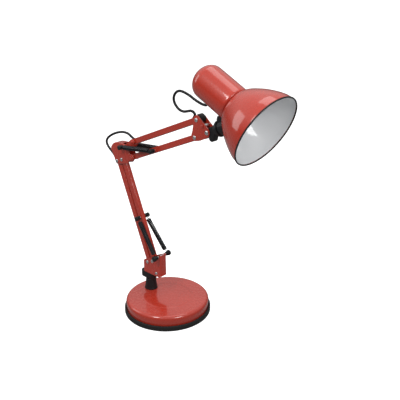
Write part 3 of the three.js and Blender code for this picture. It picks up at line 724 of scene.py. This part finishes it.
# a channel with round ends: at a depth d from the middle the cheeks reach sqrt(R^2 - d^2) past the
# pivots, and the web stops short of them by its own distance
def makeBar(name, node, body, start, end, webSide, webCut, c):
    half, deep, fold = c["width"] / 2, c["depth"] / 2, c["fold"]
    depthAlong = -deep * np.cos(np.linspace(0, 1, 26) * np.pi * 0.5)
    depthAlong = np.concatenate([depthAlong, -depthAlong[-2::-1]])
    depthAlong = depthAlong[depthAlong < deep - fold]
    corner = arc((deep - fold, -half + fold), fold, -90, 0, 8)
    near = np.vstack([np.stack([depthAlong, -half + 0 * depthAlong], 1), corner])
    outer = np.vstack([near, near[::-1] * [1, -1]])
    inner = shifted(outer, c["sheet"])
    inner[:, 0] = np.minimum(inner[:, 0], deep - c["sheet"])
    inner[:, 1] = np.clip(inner[:, 1], -half + c["sheet"], half - c["sheet"])
    past = np.sqrt(np.maximum(deep ** 2 - outer[:, 0] ** 2, 0))
    isWeb = (outer[:, 0] > deep - fold * 0.75) & (np.abs(outer[:, 1]) < half - fold * 0.25)
    direction, length = unit(end - start), np.linalg.norm(end - start)
    low = np.where(isWeb, webCut[0], -past)
    high = np.where(isWeb, length - webCut[1], length + past)

    def place(uv, reach):
        inPlane = start + reach[..., None] * direction + uv[..., :1] * webSide
        return np.stack([inPlane[..., 0], uv[..., 1], inPlane[..., 1]], -1)

    addPiece(name, [foldedSheet(outer, inner, low, high, place, 24)], redPaint, body, [node], 40)


for barName, bar in bars.items():
    makeBar(barName, *bar, channel)
print("channel arms made")


# ---- elbow bracket ----

elbow = {"cheek": 8.2, "sheet": 1.5, "fold": 1.2, "lowEar": 6.2, "highEar": 5.8}


# two cheeks with an ear at each upper pivot, joined by a strip that is folded over the back
def makeElbow(e):
    lowEar = arc(elbowLow, e["lowEar"], -78, 102, 14)
    highEar = arc(elbowHigh, e["highEar"], -50, 129, 14)
    crown = [(-99.5, 320.9), (-108, 322.6), (-118, 322.6), (-128, 320.8), (-136, 316.8), (-141.5, 310.5),
             (-143.5, 303)]
    outline = np.vstack([
        softCorners([(-143.5, 303), (-127.5, 276.5), (-94, 284.5), (-90.5, 290.5)], [0, 4, 5, 2], 5,
                    closed=False)[1:],
        lowEar, softCorners([lowEar[-1], (-88.2, 304.6), (-88.6, 314.5), highEar[0]], 2.5, 5,
                            closed=False)[1:-1],
        highEar, softCorners([highEar[-1]] + crown, 4.0, 4, closed=False)[1:-1]])
    cheek, inner = e["cheek"], e["cheek"] - e["sheet"]
    near = plate(outline, -cheek, -inner, e["fold"], 0.15)
    far = plate(outline, inner, cheek, 0.15, e["fold"])
    path = softCorners(crown[1:] + [(-142.8, 301.5)], 4.0, 5, closed=False)
    strip = foldedSheet(path, shifted(path, e["sheet"]), -(cheek - e["fold"]) + 0 * path[:, 0],
                        (cheek - e["fold"]) + 0 * path[:, 0],
                        lambda uv, reach: np.stack([uv[..., 0], reach, uv[..., 1]], -1))
    addPiece("elbowBracket", [near, far, strip], redPaint, "elbow", ["elbow_bracket"], 32)


makeElbow(elbow)
print("elbow bracket made")


# ---- spring pins, spools and springs ----

spring = {
    "coil": 4.6,  # outer radius of the coil
    "wire": 1.1,
    "eye": 4.35,
    "lead": 3.4,
    "bracketSide": 15.4,
    "barSide": 10.8,
    "bracketCap": 5.5,
    "barCap": 4.6,
}


# a plain rod from -end to end across the lamp
def makePin(name, node, body, centre, side):
    end = side + 5.4
    rod = softProfile([(0.01, -end), (rivetShank, -end), (rivetShank, end), (0.01, end)], 0.4, 3,
                      closed=False)
    addPiece(name, [turned(rod, flat(centre), sideways, 24)], zincSteel, body, [node])


# a waisted spool that holds the spring's eye between two flanges
def makeSpool(name, node, body, centre, side, cap):
    inner, outer = abs(side) - 2.4, abs(side) + 2.2
    profile = softProfile(
        [(2.3, inner - 1.2), (4, inner - 1.2), (4, inner), (3, inner + 0.3), (3, outer), (cap, outer),
         (cap, outer + 3.6), (cap - 1.6, outer + 4.6), (0.01, outer + 4.6), (0.01, outer + 3.5),
         (2.3, outer + 3.5)],
        [0, 0.4, 0.4, 0.2, 0.3, 0.7, 1.2, 1.4, 0, 0, 0], 4)
    axis = sideways * np.sign(side)
    addPiece(name, [turned(profile, flat(centre), axis, 40)], satinBlack, body, [node])


# a closely wound tension spring: start + a * s + (u cos + v sin) * R(s), with an eye of wire at each end
def makeSpring(name, node, fromPoint, toPoint, sides, s):
    start, end = flat(fromPoint, sides[0]), flat(toPoint, sides[1])
    length = np.linalg.norm(end - start)
    a = (end - start) / length
    v = unit(np.cross(a, sideways))
    u = np.cross(v, a)
    coil, eye = s["coil"] - s["wire"] / 2, s["eye"]
    first = eye + s["lead"]
    turns = int((length - 2 * first) / (s["wire"] * 1.03))
    k = np.linspace(0, turns, turns * 20)
    ease = np.clip(np.minimum(k, turns - k) / 0.8, 0.05, 1)
    radius = coil * ease * (2 - ease)
    along = first + (length - 2 * first) * k / turns
    angle = 2 * np.pi * k
    around = u * np.cos(angle)[:, None] + v * np.sin(angle)[:, None]
    winding = start + a * along[:, None] + around * radius[:, None]
    b = np.radians(np.linspace(28, 335, 40))[:, None]
    ringFrom = start + (a * np.cos(b) + v * np.sin(b)) * eye
    ringTo = end - (a * np.cos(b) + v * np.sin(b)) * eye
    line = np.vstack([ringFrom, start + a * (eye + 1.4), winding, end - a * (eye + 1.4), ringTo[::-1]])
    piece = addPiece(name, [wire(line, s["wire"] / 2, 8)], springWire, None, [node], 60)
    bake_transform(piece)


sideOf = {"Near": -1, "Far": 1}
springSets = {
    "lower": ("foot", footPin, "bar", barPin, "front_bar", spring["bracketCap"]),
    "upper": ("elbow", elbowPin, "tube", tubePin, "lower_tube", spring["barCap"]),
}
for level, (low, lowPin, high, highPin, highBody, lowCap) in springSets.items():
    makePin(low + "Pin", low + "_spring_pin", low, lowPin, spring["bracketSide"])
    makePin(high + "Pin", high + "_spring_pin", highBody, highPin, spring["barSide"])
    for word, sense in sideOf.items():
        makeSpool(low + "Spool" + word, low + "_spool_" + word.lower(), low, lowPin,
                  sense * spring["bracketSide"], lowCap)
        makeSpool(high + "Spool" + word, high + "_spool_" + word.lower(), highBody, highPin,
                  sense * spring["barSide"],
                  spring["barCap"])
        makeSpring(level + "Spring" + word, level + "_spring_" + word.lower(), lowPin, highPin,
                   (sense * spring["bracketSide"], sense * spring["barSide"]), spring)
print("pins, spools and springs made")


# ---- head bracket, cord guide and tilt knuckle ----

head = {
    "cheek": 8.2,
    "sheet": 1.5,
    "corners": [(75.2, 370), (77.5, 365.8), (83, 363.6), (95, 366.5), (110, 373.6), (115.4, 378),
                (116.6, 384),
                (114.4, 390), (101.5, 400), (91.5, 408.8), (85.8, 409.6), (80.2, 405.5), (79, 400),
                (79.5, 392),
                (77.5, 380), (75.2, 374.5)],
    "hub": 6.4,
    "hood": 10.0,
    "turn": 24.0,  # the knuckle's stem rises by this angle
    "barrel": 7.2,
    "padLow": 22.0,
    "pad": 14.0,
    "padThick": 5.0,
}


# two cheeks, the guide that the cord bends over, and the spacer between the cheeks
def makeHead(h):
    cheek, inner = h["cheek"], h["cheek"] - h["sheet"]
    outline = softCorners(h["corners"], 2.6, 4)
    addPiece("headCheekNear", [plate(outline, -cheek, -inner, 0.5, 0.2)], redPaint, "head",
             ["head_cheek_near"], 32)
    addPiece("headCheekFar", [plate(outline, inner, cheek, 0.2, 0.5)], redPaint, "head", ["head_cheek_far"],
             32)
    hubHalf, hoodHalf = channel["width"] / 2 - channel["sheet"] - 0.3, inner - 0.3
    hub = softProfile([(0.01, -hubHalf), (h["hub"], -hubHalf), (h["hub"], hubHalf), (0.01, hubHalf)], 0.6,
                      3, closed=False)
    hood = softCorners(np.vstack([arc(headHigh, h["hub"] - 0.2, -10, 88, 12),
                                  arc(headHigh, h["hood"], 88, -10, 14)]),
                       0.5, 2)
    addPiece("cordGuide",
             [turned(hub, flat(headHigh), sideways, 48), plate(hood, -hoodHalf, hoodHalf, 0.8, 0.8)],
             satinBlack, "head", ["cord_guide"])
    tube = softProfile([(2.3, -hoodHalf), (3.4, -hoodHalf), (3.4, hoodHalf), (2.3, hoodHalf)], 0.2, 2)
    addPiece("headSpacer", [turned(tube, flat(headRivet), sideways, 32)], zincSteel, "head",
             ["head_spacer"])


stem = np.array([math.cos(math.radians(head["turn"])), math.sin(math.radians(head["turn"]))])


# a barrel along the stem, a lobe under the bolt and a round pad at the far end
def makeKnuckle(h):
    half = h["cheek"] - h["sheet"] - 0.3
    far = tilt + stem * (h["padLow"] - 4)
    lobeTop, lobeLow, lobe = tilt + [9.5, 0.5], tilt + [7.8, -9.0], 5.8
    turnDegrees = h["turn"]
    barrel = np.vstack([arc(far, h["barrel"], turnDegrees - 90, turnDegrees + 90, 12),
                        arc(tilt, h["barrel"], turnDegrees + 90, turnDegrees + 270, 20)])
    lean = math.degrees(math.atan2(lobeTop[1] - lobeLow[1], lobeTop[0] - lobeLow[0]))
    lobeShape = np.vstack([arc(lobeTop, lobe, lean - 90, lean + 90, 14),
                           arc(lobeLow, lobe, lean + 90, lean + 270, 20)])
    pad = softProfile([(0.01, 0), (h["pad"], 0), (h["pad"], h["padThick"]), (0.01, h["padThick"])], 1.2, 5,
                      closed=False)
    neck = softProfile([(0.01, -9), (8.2, -9), (9.4, 0.5), (0.01, 0.5)], 0.5, 3, closed=False)
    foot3 = flat(tilt + stem * h["padLow"])
    axis = flat(stem)
    addPiece("tiltKnuckle",
             [plate(barrel, -half, half, 1.4, 1.4), plate(lobeShape, -half + 0.2, half - 0.2, 1.6, 1.6),
                             turned(pad, foot3, axis, 64), turned(neck, foot3, axis, 48)],
             satinBlack, "knuckle", ["tilt_knuckle"])


knob = {"low": 10.9, "thick": 9.0, "radius": 9.0, "lobes": 7, "lobeDepth": 0.8, "neck": 5.4}


# the grip's radius is r + d * cos(7 a) over its height, fading to round at the crown
def makeKnob(k):
    def lobed(radius, height, angle):
        share = np.clip((radius - 5.5) / 2.5, 0, 1)
        return radius + k["lobeDepth"] * np.cos(k["lobes"] * angle) * share, height

    top = k["low"] + k["thick"]
    grip = softProfile([(2.3, k["low"] - 2.4), (k["neck"], k["low"] - 2.4), (k["neck"], k["low"]),
                        (k["radius"], k["low"]),
                        (k["radius"], top), (6.4, top), (6.0, top - 0.8), (2.3, top - 0.8)],
                       [0, 0.4, 0.3, 1.2, 1.6, 0.4, 0.4, 0], 5)
    addPiece("tiltKnob", [turned(grip, flat(tilt), sideways, 168, lobed)], satinBlack, "tilt_knob",
             ["tilt_knob"])
    seat = head["cheek"] + 0.3
    bolt = [(0.0, -seat - 2.0), (2.2, -seat - 1.9), (3.6, -seat - 1.2), (4.0, -seat - 0.5), (4.0, -seat),
            (rivetShank, -seat), (rivetShank, seat + 11.4), (rivetShank - 0.4, seat + 11.7),
            (0.0, seat + 11.7)]
    addPiece("tiltBolt", [turned(bolt, flat(tilt), sideways, 40)], zincSteel, "head", ["tilt_bolt"])


makeHead(head)
makeKnuckle(head)
makeKnob(knob)
print("head, knuckle and knob made")


# ---- shade ----

shade = {
    "mouth": (226.7, 404.6),
    "dip": 27.1,
    "wall": 1.2,
    "bell": [(1.4, 65.4), (12, 63.6), (25, 59), (38, 53), (50, 46), (60, 39), (66, 33), (68.6, 28.4)],
    "neckPlane": 68.8,
    "neckHole": 21.0,
    "cap": 29.6,
    "capShoulder": 134.0,
    "capDepth": 23.5,
    "gland": 121.0,
    "trim": 1.25,
}
dip = math.radians(shade["dip"])
shadeBack = np.array([-math.cos(dip), math.sin(dip)])
shadeUp = np.array([math.sin(dip), math.cos(dip)])
mouth = flat(shade["mouth"])
glandCentre = np.array(shade["mouth"]) + shadeBack * shade["gland"] - shadeUp * shade["cap"]


# profile points are (distance behind the mouth, radius)
def turnedShade(profile, segments=160):
    profile = np.asarray(profile, float)
    return turned(profile[:, ::-1], mouth, flat(shadeBack), segments)


# outside through the profile's points, inside one wall's thickness further in, and a flat neck
def makeBell(s):
    line, _ = smoothRoute([(t, 0, r) for t, r in s["bell"]], 56)
    outside = line[:, [0, 2]]
    inside = shifted(outside, -s["wall"])
    inside = inside[(inside[:, 0] < s["neckPlane"] - s["wall"] - 0.8)]
    rim = np.array([[0.9, inside[0, 1] + 0.25], [0.9, outside[0, 1] - 0.25]])
    neck = softCorners([outside[-1], (s["neckPlane"], 26.5), (s["neckPlane"], s["neckHole"]),
                        (s["neckPlane"] - s["wall"], s["neckHole"]), (s["neckPlane"] - s["wall"], 27.6),
                        inside[-1]],
                       0.5, 3, closed=False)
    loop = np.vstack([rim, outside, neck[1:-1], inside[::-1], rim[:1]])
    rows = len(loop) - 1
    segments = 192
    points, faces = turnedShade(loop, segments)
    innerFrom = 2 + len(outside) + (len(neck) - 2) // 2
    tintOfRow = np.repeat((np.arange(rows) >= innerFrom).astype(np.int32), segments)
    tintOfRow[-segments:] = 0
    piece = addPiece("shadeBell", [(points, faces)], (redPaint, whitePaint), "shade", ["shade_bell"],
                     40,
                     tint=lambda p, f: tintOfRow)
    trim = arc((-0.2, 64.8), s["trim"], 0, 360, 17)
    trim[-1] = trim[0]
    addPiece("shadeTrim", [turnedShade(trim, 192)], rubberBlack, "shade", ["shade_rim_bead"])
    return piece


# a tube closed by a dome: behind = shoulder + depth * sin a, radius = r * cos a
def makeCap(s):
    foot, wall = s["neckPlane"] + 0.3, s["wall"]
    a = np.linspace(0, np.pi / 2, 28)
    dome = np.stack([s["capShoulder"] + s["capDepth"] * np.sin(a), s["cap"] * np.cos(a)], 1)
    lining = np.stack([s["capShoulder"] + (s["capDepth"] - wall) * np.sin(a[::2]),
                       (s["cap"] - wall) * np.cos(a[::2])], 1)
    shoulder = softCorners([(foot, 23.5), (foot, 26.4), (foot + 2.0, 28.9), (foot + 5, s["cap"]), dome[0]],
                           [0, 0.6, 2, 3, 0], 5, closed=False)
    back = [(foot + 5, s["cap"] - wall), (foot + 3, s["cap"] - wall - 1.2), (foot + wall, 26),
            (foot + wall, 23.5), (foot, 23.5)]
    profile = np.vstack([shoulder, dome[1:], lining[::-1], back])
    addPiece("shadeCap", [turnedShade(profile, 160)], redPaint, "shade", ["shade_cap"], 40)
    grip = softProfile([(2.6, -3.4), (3.4, -3.4), (3.4, 1.2), (5, 1.2), (4.8, 2.2), (3.8, 3.4), (2.6, 3.4)],
                       [0, 0.2, 0, 0.3, 0.4, 0.4, 0.2], 3)
    addPiece("cordGland", [turned(grip, flat(glandCentre), flat(-shadeUp), 40)], satinBlack, "shade",
             ["cord_gland"])


# sleeve, ring, screw shell whose radius waves with the thread's pitch, and the contact
def makeHolder(s):
    foot = s["neckPlane"] + 0.3 + s["wall"] + 0.3
    body = [(66, 19), (66, 20.4), (foot, 20.4), (foot, 23), (90, 23), (94, 20), (112, 18.5), (118, 14),
            (118, 4),
            (114, 4), (114, 12), (92, 16.2), (92, 19), (66, 19)]
    addPiece("holderBody", [turnedShade(softProfile(body[:-1], 0.5, 3), 96)], holderBlack, "shade",
             ["holder_body"])
    ring = softProfile([(62, 20.8), (62, 25), (66.2, 25), (66.2, 20.8)], 0.5, 3)
    addPiece("holderRing", [turnedShade(ring, 96)], holderBlack, "shade", ["holder_ring"])
    t = np.linspace(67, 89, 90)
    thread = 14.35 + 0.35 * np.cos(2 * np.pi * (t - 67) / 3.6)
    shell = np.vstack([np.stack([t, thread + 0.25], 1), [(90, 14.4), (90, 3.4), (89.3, 3.4), (89.3, 13.8)],
                       np.stack([t, thread - 0.25], 1)[::-1], [(67, thread[0] + 0.25)]])
    addPiece("holderScrewShell", [turnedShade(shell, 80)], brass, "shade", ["holder_screw_shell"])
    contact = softProfile([(86.4, 0.0), (86.4, 2.6), (96, 2.6), (96, 0.0)], [0, 0.8, 0.3, 0], 3, closed=False)
    addPiece("holderContact", [turnedShade(contact, 32)], brass, "shade", ["holder_contact"])


makeBell(shade)
makeCap(shade)
makeHolder(shade)
print("shade and lampholder made")


# ---- cord ----

cord = {"radius": 2.3, "elbowCount": 160, "headCount": 220}


# a place in the rear bar's channel, by distance from its foot pivot
def lowerBed(distance, depth):
    return tuple(rearLow + distance * lowerDirection + depth * lowerFront)


# a place in the upper tube's channel, by distance from its elbow pivot
def upperBed(distance, depth):
    return tuple(elbowHigh + distance * upperDirection + depth * upperTop)


bed = channel["depth"] / 2 - channel["sheet"] - cord["radius"] - 0.6
overShank = rivetShank + 0.3 + cord["radius"] + 0.2
atGland = [tuple(glandCentre - shadeUp * d) for d in (6.5, 4.0, 1.0)]
behindRivet = tuple(rearHigh - 9.8 * lowerFront)
lowerRun = [lowerBed(14, bed), lowerBed(60, bed), lowerBed(110, bed), lowerBed(160, bed),
            lowerBed(lowerLength - 24, bed), lowerBed(lowerLength - 12, -2.4)]
upperRun = [upperBed(12, 1.6), upperBed(24, -bed), upperBed(60, -bed), upperBed(110, -bed),
            upperBed(upperLength - 30, -bed), upperBed(upperLength - 18, 0.4)]
elbowLoop = [lowerBed(lowerLength - 11, -2.7), behindRivet, (-143, 291), (-153.5, 299), (-161.5, 306),
             (-164.5, 313.5), (-160, 321.5), (-148, 330), (-134.5, 336.2), (-121, 340.6), (-109, 342.4),
             (-98, 341.5),
             (-90.5, 338.2), upperBed(0, overShank), upperBed(11, 2)]
headLoop = [upperBed(upperLength - 16.4, 1), upperBed(upperLength - 12.4, 5.5), (76.6, 406.8), (73.6, 410.6),
            (67.5, 412.2), (59.5, 410.4), (51, 408.4), (42, 409.2), (34, 413.6), (28, 420.5), (26.4, 428.5),
            (30, 436.5), (37, 441.6), (45, 442.6), (54, 441), (65, 437.6), (74, 433.6), (84, 430),
            (94, 427.4)] + atGland


# a round wire of cord along the line, hung on its body when one is given
def makeCord(name, line, node, body):
    piece = addPiece(name, [wire(line, cord["radius"], 16)], cordBlack, body, [node] if node else [],
                     70)
    return piece


# a smooth line through points of the arm plane
def route(points, count):
    return smoothRoute([flat(p) for p in points], count)[0]


makeCord("cordLowerRun", route(lowerRun, 60), "cord_lower_run", "rear_bar")
makeCord("cordUpperRun", route(upperRun, 60), "cord_upper_run", "upper_tube")

# a loop is cut at the places nearest to cuts, and each stretch becomes a piece that stays where it is made
def makeLoop(name, node, points, count, cuts, stretches):
    whole = route(points, count)
    at = [int(np.argmin(np.linalg.norm(whole[:, [0, 2]] - place, axis=1))) for place in cuts]
    for number, (first, last, stretch) in enumerate(zip([0] + at, at + [count - 1], stretches), 1):
        piece = makeCord(name + str(number), whole[first: last + 1], node, None)
        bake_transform(piece)


makeLoop("cordElbowLoop", "cord_elbow_loop", elbowLoop, cord["elbowCount"], [(-164.5, 314)],
         (("rear_bar", "elbow", (-126, 275), (-160, 304)), ("elbow", "upper_tube", (-150, 330), (-86, 337))))
makeLoop("cordHeadLoop", "cord_head_loop", headLoop, cord["headCount"], [(26.4, 428.5), (65, 437.6)],
         (("upper_tube", "head", (74, 410), (30, 418)), ("head", "knuckle", (30, 438), (62, 438)),
          ("knuckle", "shade", (67, 437), (92, 428))))
print("cord made")


# ---- floor ----

floorMaterial, _, _, floorShader, _ = startMaterial("paleFloor")
floorShader.inputs["Base Color"].default_value = studio["floorColour"]
floorShader.inputs["Roughness"].default_value = 0.7
floorShader.inputs["Specular IOR Level"].default_value = 0.1
floorShader.inputs["Emission Color"].default_value = (1, 1, 1, 1)
floorShader.inputs["Emission Strength"].default_value = studio["floorGlow"]


# both are seen only straight on: the sky's lower half stands in for the light that they would throw on
# the lamp
def makeStage(name, points, faces):
    mesh = bpy.data.meshes.new(name)
    mesh.from_pydata(np.asarray(points).reshape(-1, 3).tolist(), [], np.asarray(faces).tolist())
    mesh.materials.append(floorMaterial)
    stage = bpy.data.objects.new(name, mesh)
    stage.location = (0, 0, -0.0006)
    stage.visible_diffuse = False
    stage.visible_glossy = False
    bpy.context.collection.objects.link(stage)
    return stage


half = studio["floorHalf"]
makeStage("floor", [(-half, -half, 0), (half, -half, 0), (half, half, 0), (-half, half, 0)], [(0, 1, 2, 3)])
wall = [(0.8 * half * (2 - math.cos(a)), 0.8 * half * math.sin(a)) for a in np.linspace(0, math.pi / 3, 9)]
backdrop = makeStage("backdrop", *turned(wall, (0, 0, 0), upwards, 48))
backdrop.visible_shadow = False
print("floor and backdrop made")
